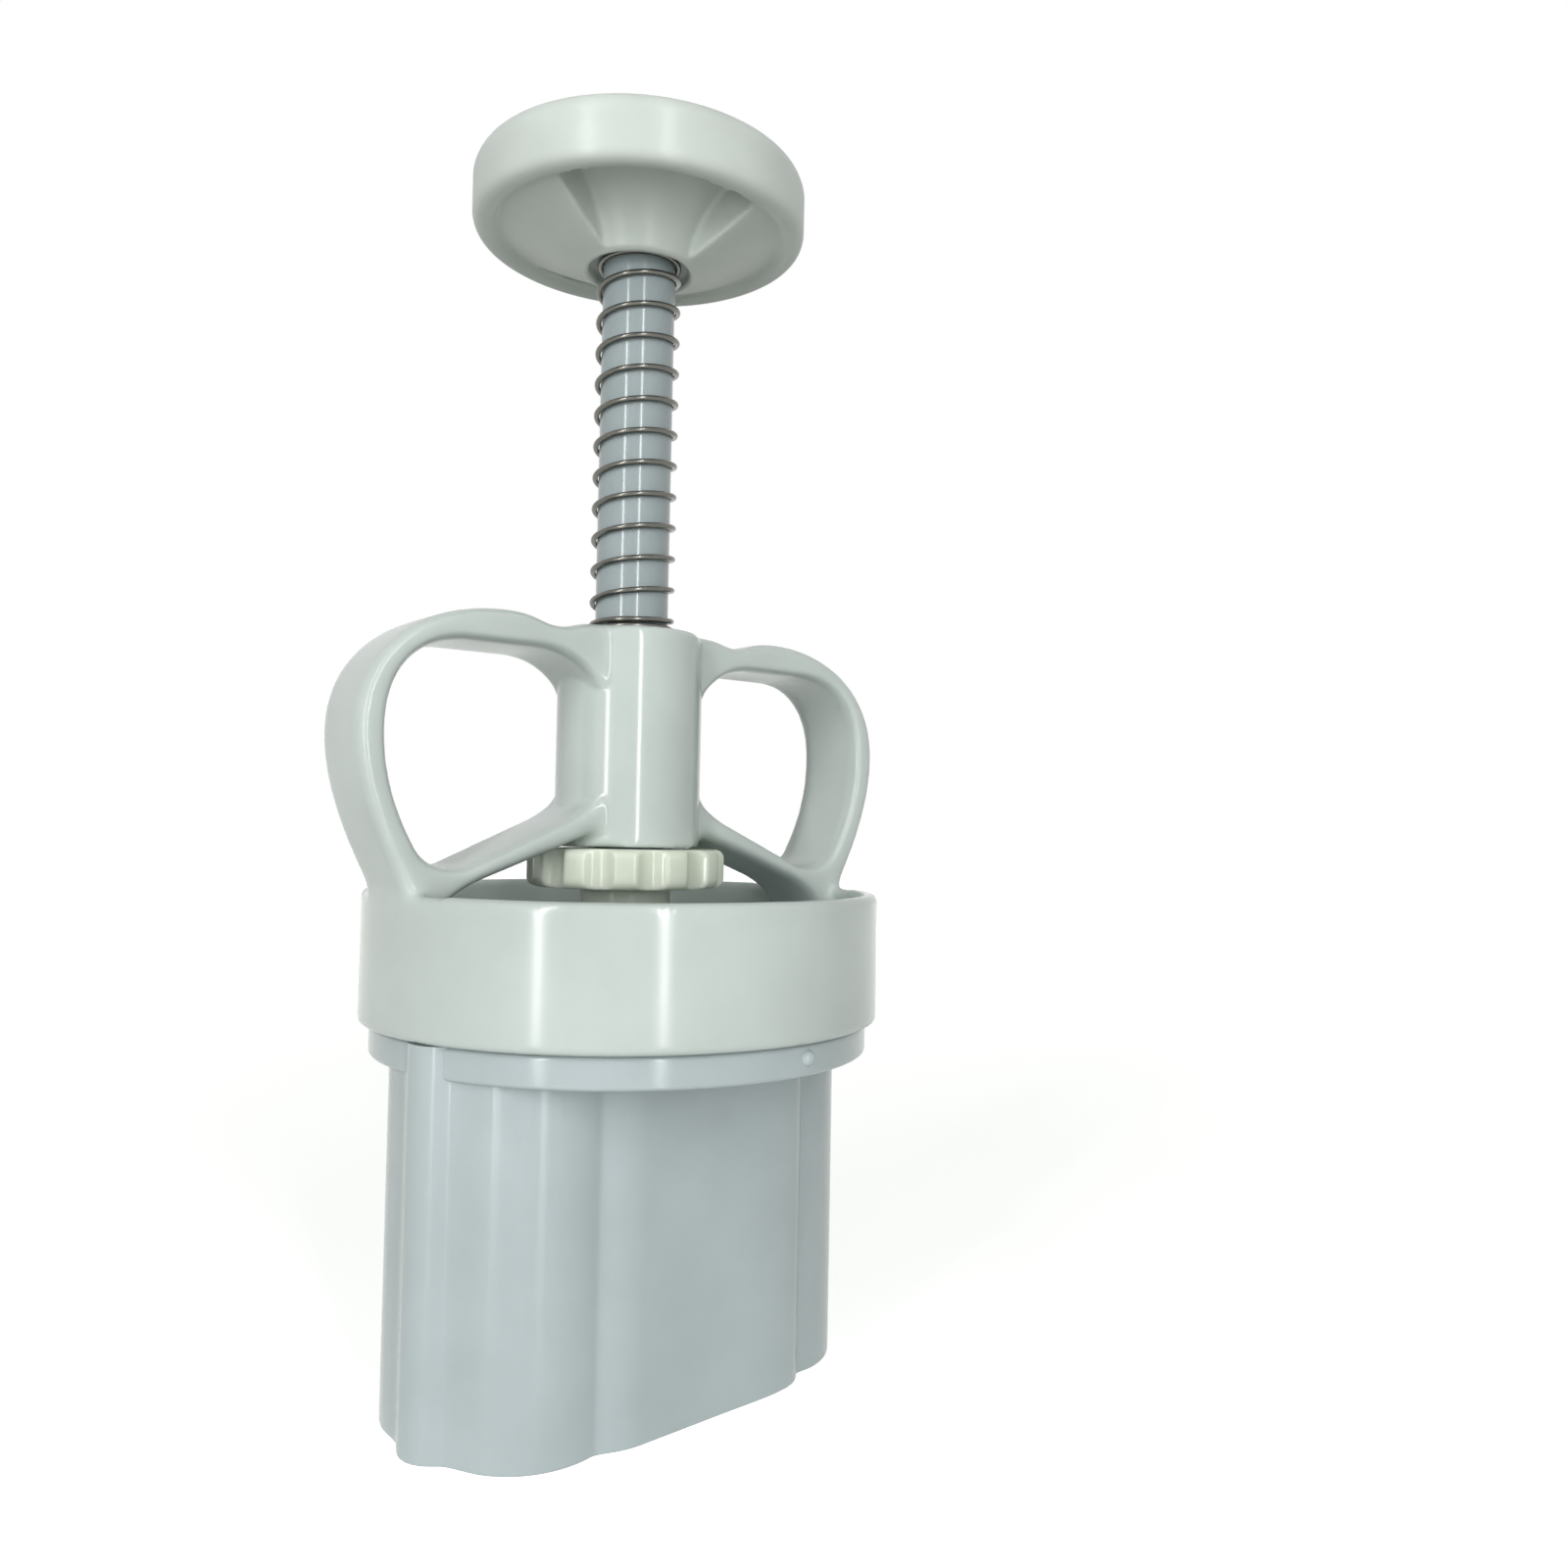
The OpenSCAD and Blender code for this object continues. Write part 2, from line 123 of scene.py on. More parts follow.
class MouldSettings(bpy.types.PropertyGroup):
    """The lantern mould: its tube, its round flange and the neck inside the cap."""

    lantern_length: length("Lantern length", "Length of the lantern stamp, tip to tip", 62.6)
    lantern_back: length("Lantern back", "How far its middle lies towards the small dome", 0.8)
    lantern_turn: degrees("Lantern turn", "Turn of the lantern from the finger loops", 14.4)
    gap: length("Stamp gap", "Gap between the stamp and the tube", 0.3)
    wall: length("Tube wall", "Wall of the lantern tube", 1.6)
    tube_height: length("Tube height", "Height of the tube below the flange", 43.1)
    flange_radius: length("Flange radius", "Radius of the round flange", 32.8)
    flange_thickness: length("Flange thickness", "Thickness of the round flange", 3.9)
    neck_radius: length("Neck radius", "Outer radius of the neck inside the cap", 30.2)
    top: height_of("Neck top", "Height of the neck's upper edge", node_high("mould_barrel"))


class HandleSettings(bpy.types.PropertyGroup):
    """The handle: guide sleeve, finger loops and cap ring."""

    ring_radius: length("Cap radius", "Outer radius of the cap ring", 34.2)
    ring_wall: length("Cap wall", "Wall of the cap ring", 2.0)
    ring_low: height_of("Cap bottom", "Height of the cap's lower edge", node_low("handle_body"))
    ring_height: length("Cap height", "Height of the cap ring", 16.8)
    sleeve_radius: length("Sleeve radius", "Outer radius of the guide sleeve", 9.8)
    sleeve_length: length("Sleeve length", "Length of the guide sleeve", 29.0)
    sleeve_lift: length("Sleeve lift", "Height of the sleeve's end above the cap", 5.7)
    loop_reach: length("Loop reach", "Distance of a loop's outside from the axis", 39.8)
    loop_depth: length("Loop depth", "Depth of a loop's band, front to back", 13.4)
    loop_edge: length("Loop edge", "Rounding of a loop's edges across its band", 1.4)


class PlungerSettings(bpy.types.PropertyGroup):
    """The plunger: palm knob, rod and thickness nut."""

    knob_radius: length("Knob radius", "Radius of the palm knob", 22.7)
    mouth_radius: length("Mouth radius", "Radius of the recess round the spring's end", 6.95)
    hub_radius: length("Hub radius", "Outer radius of the knob's hub", 7.8)
    knob_low: height_of("Hub mouth", "Height of the hub's mouth", node_low("palm_knob"))
    knob_high: height_of("Knob top", "Height of the knob's crown", node_high("palm_knob"))
    rod_radius: length("Rod radius", "Radius of the plunger rod", 4.95)
    rod_low: height_of("Rod foot", "Height of the rod's lower end", node_low("plunger_rod"))
    rod_high: height_of("Rod head", "Height of the rod's upper end", node_high("plunger_rod"))
    nut_radius: length("Nut radius", "Radius of the thickness nut over its lobes", 13.3)
    collar_radius: length("Collar radius", "Radius of the nut's lower collar", 6.1)
    collar_low: height_of("Collar end", "Height of the collar's end", node_low("thickness_nut"))
    collar_height: length("Collar height", "Height of the nut's lower collar", 3)
    nut_high: height_of("Nut top", "Height of the nut's upper face", node_high("thickness_nut"))
    nut_groove: length("Groove depth", "Depth of the grooves between the nut's lobes", 1.1)
    nut_lobes: IntProperty(name="Lobes", description="Number of lobes on the nut", default=12)


CROWN_RISE = 0.65 * MM  # of the loops above the sleeve's top face
SEAT_DEPTH = 1.7 * MM  # of the spring's seat in the knob's hub


class SpringSettings(bpy.types.PropertyGroup):
    """The return spring between the sleeve and the knob."""

    diameter: length("Spring diameter", "Outer diameter of the spring", 11.6)
    wire: length("Wire", "Diameter of the spring's wire", 0.75)
    low: height_of("Spring foot", "Height of its foot", node_high("handle_body") - CROWN_RISE)
    high: height_of("Spring head", "Height of its seat", node_low("palm_knob") + SEAT_DEPTH)
    pitch: length("Pitch", "Rise of an open curl", 4.28)
    start: degrees("Start", "Where the wire's lower end lies", -158)


class StampSettings(bpy.types.PropertyGroup):
    """The patterned stamp inside the mould."""

    face: height_of("Stamp face", "Height of the stamp's rim lip", node_low("stamp_plate"))
    thickness: length("Stamp thickness", "Thickness of the stamp, its lip included", 6.0)
    lip: length("Rim lip", "Width of the rim lip", 1.4)
    sink: length("Field depth", "Depth of the sunk field inside the lip", 1.6)
    top: height_of("Socket top", "Height of the socket's rim", node_high("stamp_plate"))


class FinishSettings(bpy.types.PropertyGroup):
    """Colours of the materials."""

    knob: colour("Knob", "Milky plastic of the palm knob", "#cbd1cd")
    handle: colour("Handle", "Milky plastic of the handle", "#c6cecb")
    # the same plastic as the handle, painted darker and bluer: painted shade on the lantern tube
    mould: colour("Mould", "Milky plastic of the mould", "#b5bfc2")
    rod: colour("Rod", "Milky plastic of the rod", "#9ca6a9")
    # lighter than the other parts' plastic: painted light that makes up for the shade under the
    # arms and ring
    nut: colour("Nut", "Natural plastic of the nut", "#dfe5d6")
    stamp: colour("Stamp", "Milky plastic of the stamp", "#c3ccce")
    spring: colour("Spring", "Drawn spring steel", "#6f6e69")
    screw: colour("Screws", "Zinc plating", "#a9adb0")


# ---------------- outlines, in millimetres


def mm(metres):
    """A setting in millimetres, in which all outlines are drawn."""
    return metres / MM


def bezier(p0, p1, p2, p3, steps=8):
    """Points of a Bezier curve, its last one left to what follows."""
    points = []
    for i in range(steps):
        t = i / steps
        s = 1 - t
        points.append(tuple(
            s ** 3 * a + 3 * s * s * t * b + 3 * s * t * t * c + t ** 3 * d
            for a, b, c, d in zip(p0, p1, p2, p3)
        ))
    return points


def arc(centre, radius, start, end, steps=6):
    """Points of an arc, both ends included, its angles in degrees."""
    angles = [math.radians(start + (end - start) * i / steps) for i in range(steps + 1)]
    return [(centre[0] + radius * math.cos(a), centre[1] + radius * math.sin(a)) for a in angles]


def quarter(r, z, radius, start, steps=6):
    """A profile's rounded corner: a quarter circle from a start angle, in degrees."""
    middle = math.radians(start + 45)
    out, up = math.copysign(radius, math.cos(middle)), math.copysign(radius, math.sin(middle))
    return arc((r - out, z - up), radius, start, start + 90, steps)


def rectangle(left, right, low, high):
    """A rectangle, anticlockwise."""
    return [(left, low), (right, low), (right, high), (left, high)]


def grown(points, distance):
    """A closed anticlockwise outline moved outwards."""
    moved = []
    for i, here in enumerate(points):
        before = (Vector(here) - Vector(points[i - 1])).normalized()
        after = (Vector(points[(i + 1) % len(points)]) - Vector(here)).normalized()
        bisector = Vector((before.y + after.y, -before.x - after.x)).normalized()
        step = distance / bisector.dot(Vector((after.y, -after.x)))
        moved.append(tuple(Vector(here) + step * bisector))
    return moved


def both_sides(side, end):
    """One side of a shape from its +X tip to its -X end, closed by its mirror image."""
    return side + [end] + [(x, -y) for x, y in reversed(side[1:])]


def lantern_outline(length_mm, back):
    """The lantern, drawn from the tip of its large dome to the tip of its small one."""
    neck, body_end, waist, ogee = 17.4, 44.3, 50.2, length_mm - 3.4
    side = (
        # the large dome, from its drawn-out tip
        bezier((0, 0), (0, 1.5), (0.75, 2.6), (1.9, 4.3))
        + bezier((1.9, 4.3), (3, 5.9), (4, 9.6), (4.9, 12.1))
        + bezier((4.9, 12.1), (5.8, 14.6), (8.6, 18.9), (13.8, 19.2), 12)
        # the neck, and the body that narrows behind it
        + bezier((13.8, 19.2), (15.2, 19.2), (neck - 1.6, 18.8), (neck, 18.8), 5)
        + bezier((neck, 18.8), (neck + 1.6, 18.8), (19.3, 20.3), (21.4, 20.35))
        + bezier((21.4, 20.35), (24.5, 20.45), (28, 19.4), (33.5, 18.35))
        # the waist, and the small dome with its tip
        + bezier((body_end, 16.3), (body_end + 2.9, 15.75), (waist - 1.8, 13.75), (waist, 13.75))
        + bezier((waist, 13.75), (54, 13.9), (57.4, 12.1), (ogee, 8.4), 12)
        + bezier((ogee, 8.4), (ogee + 0.8, 6.8), (ogee + 0.9, 3.9), (ogee + 2.1, 2.5))
        + bezier((ogee + 2.1, 2.5), (ogee + 2.7, 1.8), (length_mm, 1), (length_mm, 0), 5)
    )
    tip = length_mm / 2 - back
    return both_sides([(tip - x, y) for x, y in side], (tip - length_mm, 0))


def drop_outline(length_mm, width):
    """A drop with its point towards +X."""
    shoulder, blunt = (0.64 * length_mm, 0.36 * width), (0, 0.47 * width)
    side = (
        bezier((length_mm, 0), (0.86 * length_mm, 0.02 * width),
               (0.76 * length_mm, 0.22 * width), shoulder)
        + bezier(shoulder, (0.42 * length_mm, 0.55 * width), (0.2 * length_mm, 0.5 * width), blunt)
        + [blunt]
    )
    return both_sides(side, (0, 0))


def turned_by(points, angle):
    """An outline turned about the axis, its angle in radians."""
    spin = Matrix.Rotation(angle, 2)
    return [tuple(spin @ Vector(p)) for p in points]


def ease(value):
    """A smooth step from 0 to 1."""
    value = min(max(value, 0), 1)
    return value * value * (3 - 2 * value)


# ---------------- modelling by hand


def deselect():
    """Leaves edit mode and selects nothing."""
    if bpy.context.mode != "OBJECT":
        bpy.ops.object.mode_set(mode="OBJECT")
    bpy.ops.object.select_all(action="DESELECT")


def take(*objects):
    """Selects these objects alone and makes the first one active."""
    deselect()
    for obj in objects:
        obj.select_set(True)
    bpy.context.view_layer.objects.active = objects[0]


def wire(name, points, fill):
    """A closed outline in edit mode: a circle whose corners are each moved to their place."""
    deselect()
    bpy.ops.mesh.primitive_circle_add(vertices=len(points), radius=MM, fill_type=fill)
    obj = bpy.context.object
    obj.name = name
    for vertex, point in zip(obj.data.vertices, points):
        vertex.co = Vector(point) * MM
    bpy.ops.object.mode_set(mode="EDIT")
    bpy.ops.mesh.select_all(action="SELECT")
    return obj


def closed_up():
    """Merges doubles, turns every face outwards and leaves edit mode."""
    bpy.ops.mesh.select_all(action="SELECT")
    bpy.ops.mesh.remove_doubles(threshold=0.002 * MM)
    bpy.ops.mesh.normals_make_consistent(inside=False)
    bpy.ops.object.mode_set(mode="OBJECT")


def pulled(name, points, way):
    """A solid pulled from a flat outline, whose points are in space, along a way."""
    obj = wire(name, points, "NGON")
    bpy.ops.mesh.extrude_region_move(TRANSFORM_OT_translate={"value": Vector(way) * MM})
    closed_up()
    return obj


def upright(name, outline, low, high):
    """A solid of constant section between two heights."""
    return pulled(name, [(x, y, low) for x, y in outline], (0, 0, high - low))


def lathed(name, profile, steps=128, middle=0, span=360):
    """A solid turned about the axis from a closed profile of radii and heights."""
    start = math.radians(middle - span / 2)
    points = [(r * math.cos(start), r * math.sin(start), z) for r, z in profile]
    obj = wire(name, points, "NOTHING" if span == 360 else "NGON")
    bpy.ops.mesh.spin(
        steps=steps, angle=math.radians(span), center=(0, 0, 0), axis=(0, 0, 1), dupli=False
    )
    closed_up()
    return obj


def modified(obj, kind, **settings):
    """Adds a modifier, sets it and applies it."""
    take(obj)
    bpy.ops.object.modifier_add(type=kind)
    modifier = obj.modifiers[-1]
    for name, value in settings.items():
        setattr(modifier, name, value)
    bpy.ops.object.modifier_apply(modifier=modifier.name)
    return obj


def combined(obj, tool, operation):
    """Adds a tool's solid to an object, or cuts it away, and removes the tool."""
    modified(obj, "BOOLEAN", object=tool, operation=operation, solver="EXACT")
    bpy.data.objects.remove(tool)
    return obj


def joined(*objects):
    """One object of several."""
    take(*objects)
    bpy.ops.object.join()
    return bpy.context.object


def rounded(obj, chosen, width):
    """Rounds the edges that the test chooses, given an edge's ends and the edge."""
    take(obj)
    bpy.ops.object.mode_set(mode="EDIT")
    bpy.ops.mesh.select_all(action="DESELECT")
    bpy.ops.mesh.select_mode(type="EDGE")
    mesh = bmesh.from_edit_mesh(obj.data)
    for edge in mesh.edges:
        ends = [vertex.co / MM for vertex in edge.verts]
        edge.select_set(len(edge.link_faces) == 2 and chosen(ends, edge))
    bmesh.update_edit_mesh(obj.data)
    bpy.ops.mesh.bevel(
        offset=width * MM, segments=3, affect="EDGES", clamp_overlap=True, profile=0.5
    )
    bpy.ops.mesh.select_mode(type="VERT")
    bpy.ops.object.mode_set(mode="OBJECT")
    return obj


def fused(obj, grain, rounds):
    """One skin over touching solids, as moulded in one shot, its edges and corners softened."""
    modified(obj, "REMESH", mode="VOXEL", voxel_size=grain * MM)
    return modified(obj, "SMOOTH", factor=0.5, iterations=rounds)


def softened(obj, weight, rounds):
    """Softens a skin again where the weight of a point, in millimetres, is above 0."""
    group = obj.vertex_groups.new(name="soft")
    for vertex in obj.data.vertices:
        share = weight(vertex.co / MM)
        if share > 0:
            group.add([vertex.index], share, "REPLACE")
    modified(obj, "SMOOTH", factor=0.5, iterations=rounds, vertex_group=group.name)
    obj.vertex_groups.clear()
    return obj


def trued(obj, radius, low, high):
    """Puts a skin's points that lie near a turned face exactly on it, so that it shines evenly."""
    near, far, fade = 0.06, 0.25, 0.8
    for vertex in obj.data.vertices:
        r = math.hypot(vertex.co.x, vertex.co.y) / MM
        z = vertex.co.z / MM
        if low < z < high and abs(r - radius) < far:
            share = 1 - ease((abs(r - radius) - near) / (far - near))
            share *= ease((z - low) / fade) * ease((high - z) / fade)
            vertex.co.xy *= 1 + share * (radius / r - 1)
    return obj


def finished(obj, name, body, slot, material, *nodes, sharp=None):
    """Names a piece, smooths its shading, gives it its material and puts it on its body."""
    take(obj)
    obj.name = obj.data.name = name
    if sharp is None:
        bpy.ops.object.shade_smooth()
    else:
        bpy.ops.object.shade_smooth_by_angle(angle=math.radians(sharp))
        modified(obj, "WEIGHTED_NORMAL", keep_sharp=True)
    obj.data.materials.clear()
    obj.data.materials.append(material)
    if len(obj.data.polygons) == 0:
        raise RuntimeError(f"{name} came out empty")
    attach(obj, body)
    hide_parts(*nodes)
    return obj


# ---------------- materials


def add(tree, kind, links=(), **settings):
    """Adds a node, sets its inputs and attributes, and links other nodes' outputs into it."""
    node = tree.nodes.new("ShaderNode" + kind)
    for name, value in settings.items():
        if name in node.inputs:
            node.inputs[name].default_value = value
        else:
            setattr(node, name, value)
    for socket, source in dict(links).items():
        tree.links.new(source, node.inputs[socket])
    return node


def blank(name):
    """A material, its emptied tree and the object's coordinates in it."""
    material = bpy.data.materials.new(name)
    material.use_nodes = True
    tree = material.node_tree
    tree.nodes.clear()
    return material, tree, add(tree, "TexCoord").outputs["Object"]


def tone(rgba, factor):
    """A colour made lighter or darker."""
    return tuple(min(c * factor, 1) for c in rgba[:3]) + (1,)


def milky_plastic(name, rgba, cloud_mm=14, depth=0.25, gloss=0.22):
    """Natural ABS, or the nut's polypropylene, injection moulded in a polished tool: milky, a
    little translucent, glossy, with faint clouds where the melt flowed, a few duller patches and
    a trace of shrinkage on the skin. The tool was polished along the way it opens, which draws
    the highlights out upright."""
    patch_mm, shrink_mm, relief_mm, scatter_mm = 5, 2.5, 0.002, 2.2
    material, tree, place = blank(name)
    clouds = add(tree, "TexNoise", {"Vector": place},
                 Scale=1 / (cloud_mm * MM), Detail=3, Roughness=0.5)
    tint = add(tree, "ValToRGB", {"Fac": clouds.outputs["Fac"]})
    tint.color_ramp.elements[0].position = 0.3
    tint.color_ramp.elements[0].color = tone(rgba, 0.94)
    tint.color_ramp.elements[1].position = 0.7
    tint.color_ramp.elements[1].color = tone(rgba, 1.04)
    patches = add(tree, "TexNoise", {"Vector": place},
                  Scale=1 / (patch_mm * MM), Detail=4, Roughness=0.6)
    rough = add(tree, "MapRange", {"Value": patches.outputs["Fac"]},
                **{"From Min": 0.3, "From Max": 0.7,
                   "To Min": gloss - 0.02, "To Max": gloss + 0.03})
    shrinkage = add(tree, "TexNoise", {"Vector": place},
                    Scale=1 / (shrink_mm * MM), Detail=2, Roughness=0.4)
    skin = add(tree, "Bump", {"Height": shrinkage.outputs["Fac"]},
               Strength=1, Distance=relief_mm * MM)
    marks = add(tree, "Tangent", direction_type="RADIAL", axis="Z")
    shader = add(
        tree, "BsdfPrincipled",
        {"Base Color": tint.outputs["Color"], "Roughness": rough.outputs["Result"],
         "Normal": skin.outputs["Normal"], "Tangent": marks.outputs["Tangent"]},
        **{"IOR": 1.52, "Anisotropic": 0.9, "Anisotropic Rotation": 0.25,
           "Subsurface Weight": depth, "Subsurface Scale": scatter_mm * MM,
           "Subsurface Radius": (0.9, 1.0, 0.85)},
    )
    add(tree, "OutputMaterial", {"Surface": shader.outputs["BSDF"]})
    return material


def drawn_steel(name, rgba):
    """Spring wire, drawn and lightly oiled: a bright metal with fine lengthwise die marks."""
    mark_mm = 0.6  # far coarser than real die marks, which would not show
    material, tree, place = blank(name)
    marks = add(tree, "TexNoise", {"Vector": place},
                Scale=1 / (mark_mm * MM), Detail=3, Roughness=0.6)
    tint = add(tree, "ValToRGB", {"Fac": marks.outputs["Fac"]})
    tint.color_ramp.elements[0].color = tone(rgba, 0.82)
    tint.color_ramp.elements[1].color = tone(rgba, 1.12)
    rough = add(tree, "MapRange", {"Value": marks.outputs["Fac"]},
                **{"To Min": 0.14, "To Max": 0.34})
    shader = add(
        tree, "BsdfPrincipled",
        {"Base Color": tint.outputs["Color"], "Roughness": rough.outputs["Result"]}, Metallic=1,
    )
    add(tree, "OutputMaterial", {"Surface": shader.outputs["BSDF"]})
    return material


def zinc_plate(name, rgba):
    """Screw steel, bright zinc plated: a pale metal with the small spangles of the plating."""
    spangle_mm = 0.7
    material, tree, place = blank(name)
    spangles = add(tree, "TexVoronoi", {"Vector": place}, Scale=1 / (spangle_mm * MM))
    grey = add(tree, "RGBToBW", {"Color": spangles.outputs["Color"]})
    tint = add(tree, "ValToRGB", {"Fac": grey.outputs["Val"]})
    tint.color_ramp.elements[0].color = tone(rgba, 0.85)
    tint.color_ramp.elements[1].color = tone(rgba, 1.1)
    rough = add(tree, "MapRange", {"Value": grey.outputs["Val"]}, **{"To Min": 0.26, "To Max": 0.4})
    shader = add(
        tree, "BsdfPrincipled",
        {"Base Color": tint.outputs["Color"], "Roughness": rough.outputs["Result"]}, Metallic=1,
    )
    add(tree, "OutputMaterial", {"Surface": shader.outputs["BSDF"]})
    return material


def seen_background(tree):
    """1 for rays that show the background: the camera's, and those mirrored or let through."""
    path = add(tree, "LightPath").outputs
    seen = path["Is Camera Ray"]
    for ray in ("Is Glossy Ray", "Is Transmission Ray"):
        seen = add(tree, "Math", {0: seen, 1: path[ray]}, operation="MAXIMUM").outputs[0]
    return seen


def paper_floor(name):
    """Matt white studio paper, whose lit part shows as white and whose shadow stays."""
    fibre_mm = 1.2  # coarser than real fibres, so that they show
    glow_start, glow_end = 0.15, 0.7  # distances from the press, in metres
    material, tree, place = blank(name)
    fibre = add(tree, "TexNoise", {"Vector": place},
                Scale=1 / (fibre_mm * MM), Detail=2, Roughness=0.5)
    tint = add(tree, "ValToRGB", {"Fac": fibre.outputs["Fac"]})
    tint.color_ramp.elements[0].color = linear("#e3e4e3")
    tint.color_ramp.elements[1].color = linear("#ebecea")
    matt = add(tree, "BsdfDiffuse", {"Color": tint.outputs["Color"]})
    # further from the press the paper's glow is painted brighter, so that it fades into the white
    # of the background; the floor itself stays flat
    away = add(tree, "VectorMath", {0: place}, operation="LENGTH")
    rise = add(tree, "MapRange", {"Value": away.outputs["Value"]},
               **{"From Min": glow_start, "From Max": glow_end, "To Min": 1, "To Max": 1.36})
    level = add(tree, "Math", {0: seen_background(tree), 1: rise.outputs["Result"]},
                operation="MULTIPLY")
    glow = add(tree, "Emission", {"Strength": level.outputs[0]}, Color=linear("#dedfde"))
    both = add(tree, "AddShader", {0: matt.outputs[0], 1: glow.outputs[0]})
    add(tree, "OutputMaterial", {"Surface": both.outputs[0]})
    return material


# ---------------- operators


class PRESS_OT_camera(bpy.types.Operator):
    """Stand the camera where the press is looked at slightly from the left, near its cap"""

    bl_idname = "press.camera"
    bl_label = "Camera"

    def execute(self, context):
        pan, pitch, roll = map(math.radians, (CAMERA_PAN, CAMERA_PITCH, CAMERA_ROLL))
        ahead = Vector((
            math.sin(pan) * math.cos(pitch), math.cos(pan) * math.cos(pitch), math.sin(pitch)
        ))
        level = Vector((math.cos(pan), -math.sin(pan), 0))
        up = level.cross(ahead)
        right = level * math.cos(roll) + up * math.sin(roll)
        above = up * math.cos(roll) - level * math.sin(roll)
        bpy.ops.object.camera_add(location=(0, 0, 0))
        camera = context.object
        camera.name = "press_camera"
        axes = Matrix((right, above, -ahead)).transposed().to_4x4()
        camera.matrix_world = Matrix.Translation(Vector(CAMERA_PLACE) * MM) @ axes
        camera.data.sensor_width = CAMERA_SENSOR
        camera.data.lens = CAMERA_LENS
        camera.data.clip_start = 0.01
        context.scene.camera = camera
        return {"FINISHED"}


class PRESS_OT_stage(bpy.types.Operator):
    """Lay the paper floor and stand two tall strip lights in a pale surround"""

    bl_idname = "press.stage"
    bl_label = "Floor and Light"

    def execute(self, context):
        deselect()
        bpy.ops.mesh.primitive_plane_add(size=8, location=(0, 0, 0))
        floor = context.object
        floor.name = "paper_floor"
        floor.data.materials.append(paper_floor("studio_paper"))
        # strips that stand upright and face the press, their azimuths counted from the camera's
        height, distance, tall, watts = 0.26, 0.42, 0.50, 0.86
        for name, azimuth, width in (("strip_left", -27, 0.024), ("strip_right", 23, 0.020)):
            bearing = math.radians(CAMERA_PAN - azimuth)
            place = Vector((-math.sin(bearing) * distance, -math.cos(bearing) * distance, height))
            bpy.ops.object.light_add(type="AREA", location=place)
            lamp = context.object
            lamp.name = name
            lamp.data.shape = "RECTANGLE"
            lamp.data.size, lamp.data.size_y = width, tall
            lamp.data.energy = watts
            aim = Vector((-place.x, -place.y, 0))
            lamp.rotation_euler = aim.to_track_quat("-Z", "Y").to_euler()
        world = bpy.data.worlds.new("studio")
        world.use_nodes = True
        tree = world.node_tree
        tree.nodes.clear()
        # a pale surround, brighter on the camera's side of the room
        bright_side = (-0.58, -0.74, -0.34)
        way = add(tree, "TexCoord").outputs["Generated"]
        front = add(tree, "VectorMath", {0: way}, operation="DOT_PRODUCT")
        front.inputs[1].default_value = bright_side
        level = add(tree, "MapRange", {"Value": front.outputs["Value"]},
                    **{"From Min": 0, "From Max": 1, "To Min": 0.18, "To Max": 1.25})
        hue = add(tree, "ValToRGB", {"Fac": front.outputs["Value"]})
        hue.color_ramp.elements[0].color = linear("#c9d2bf")
        hue.color_ramp.elements[1].color = linear("#eef2f4")
        fill = add(tree, "Background",
                   {"Color": hue.outputs["Color"], "Strength": level.outputs["Result"]})
        white = add(tree, "Background", Color=linear("#ffffff"), Strength=1)
        mix = add(tree, "MixShader",
                  {"Fac": seen_background(tree), 1: fill.outputs[0], 2: white.outputs[0]})
        add(tree, "OutputWorld", {"Surface": mix.outputs[0]})
        context.scene.world = world
        context.scene.view_settings.view_transform = "Standard"
        return {"FINISHED"}


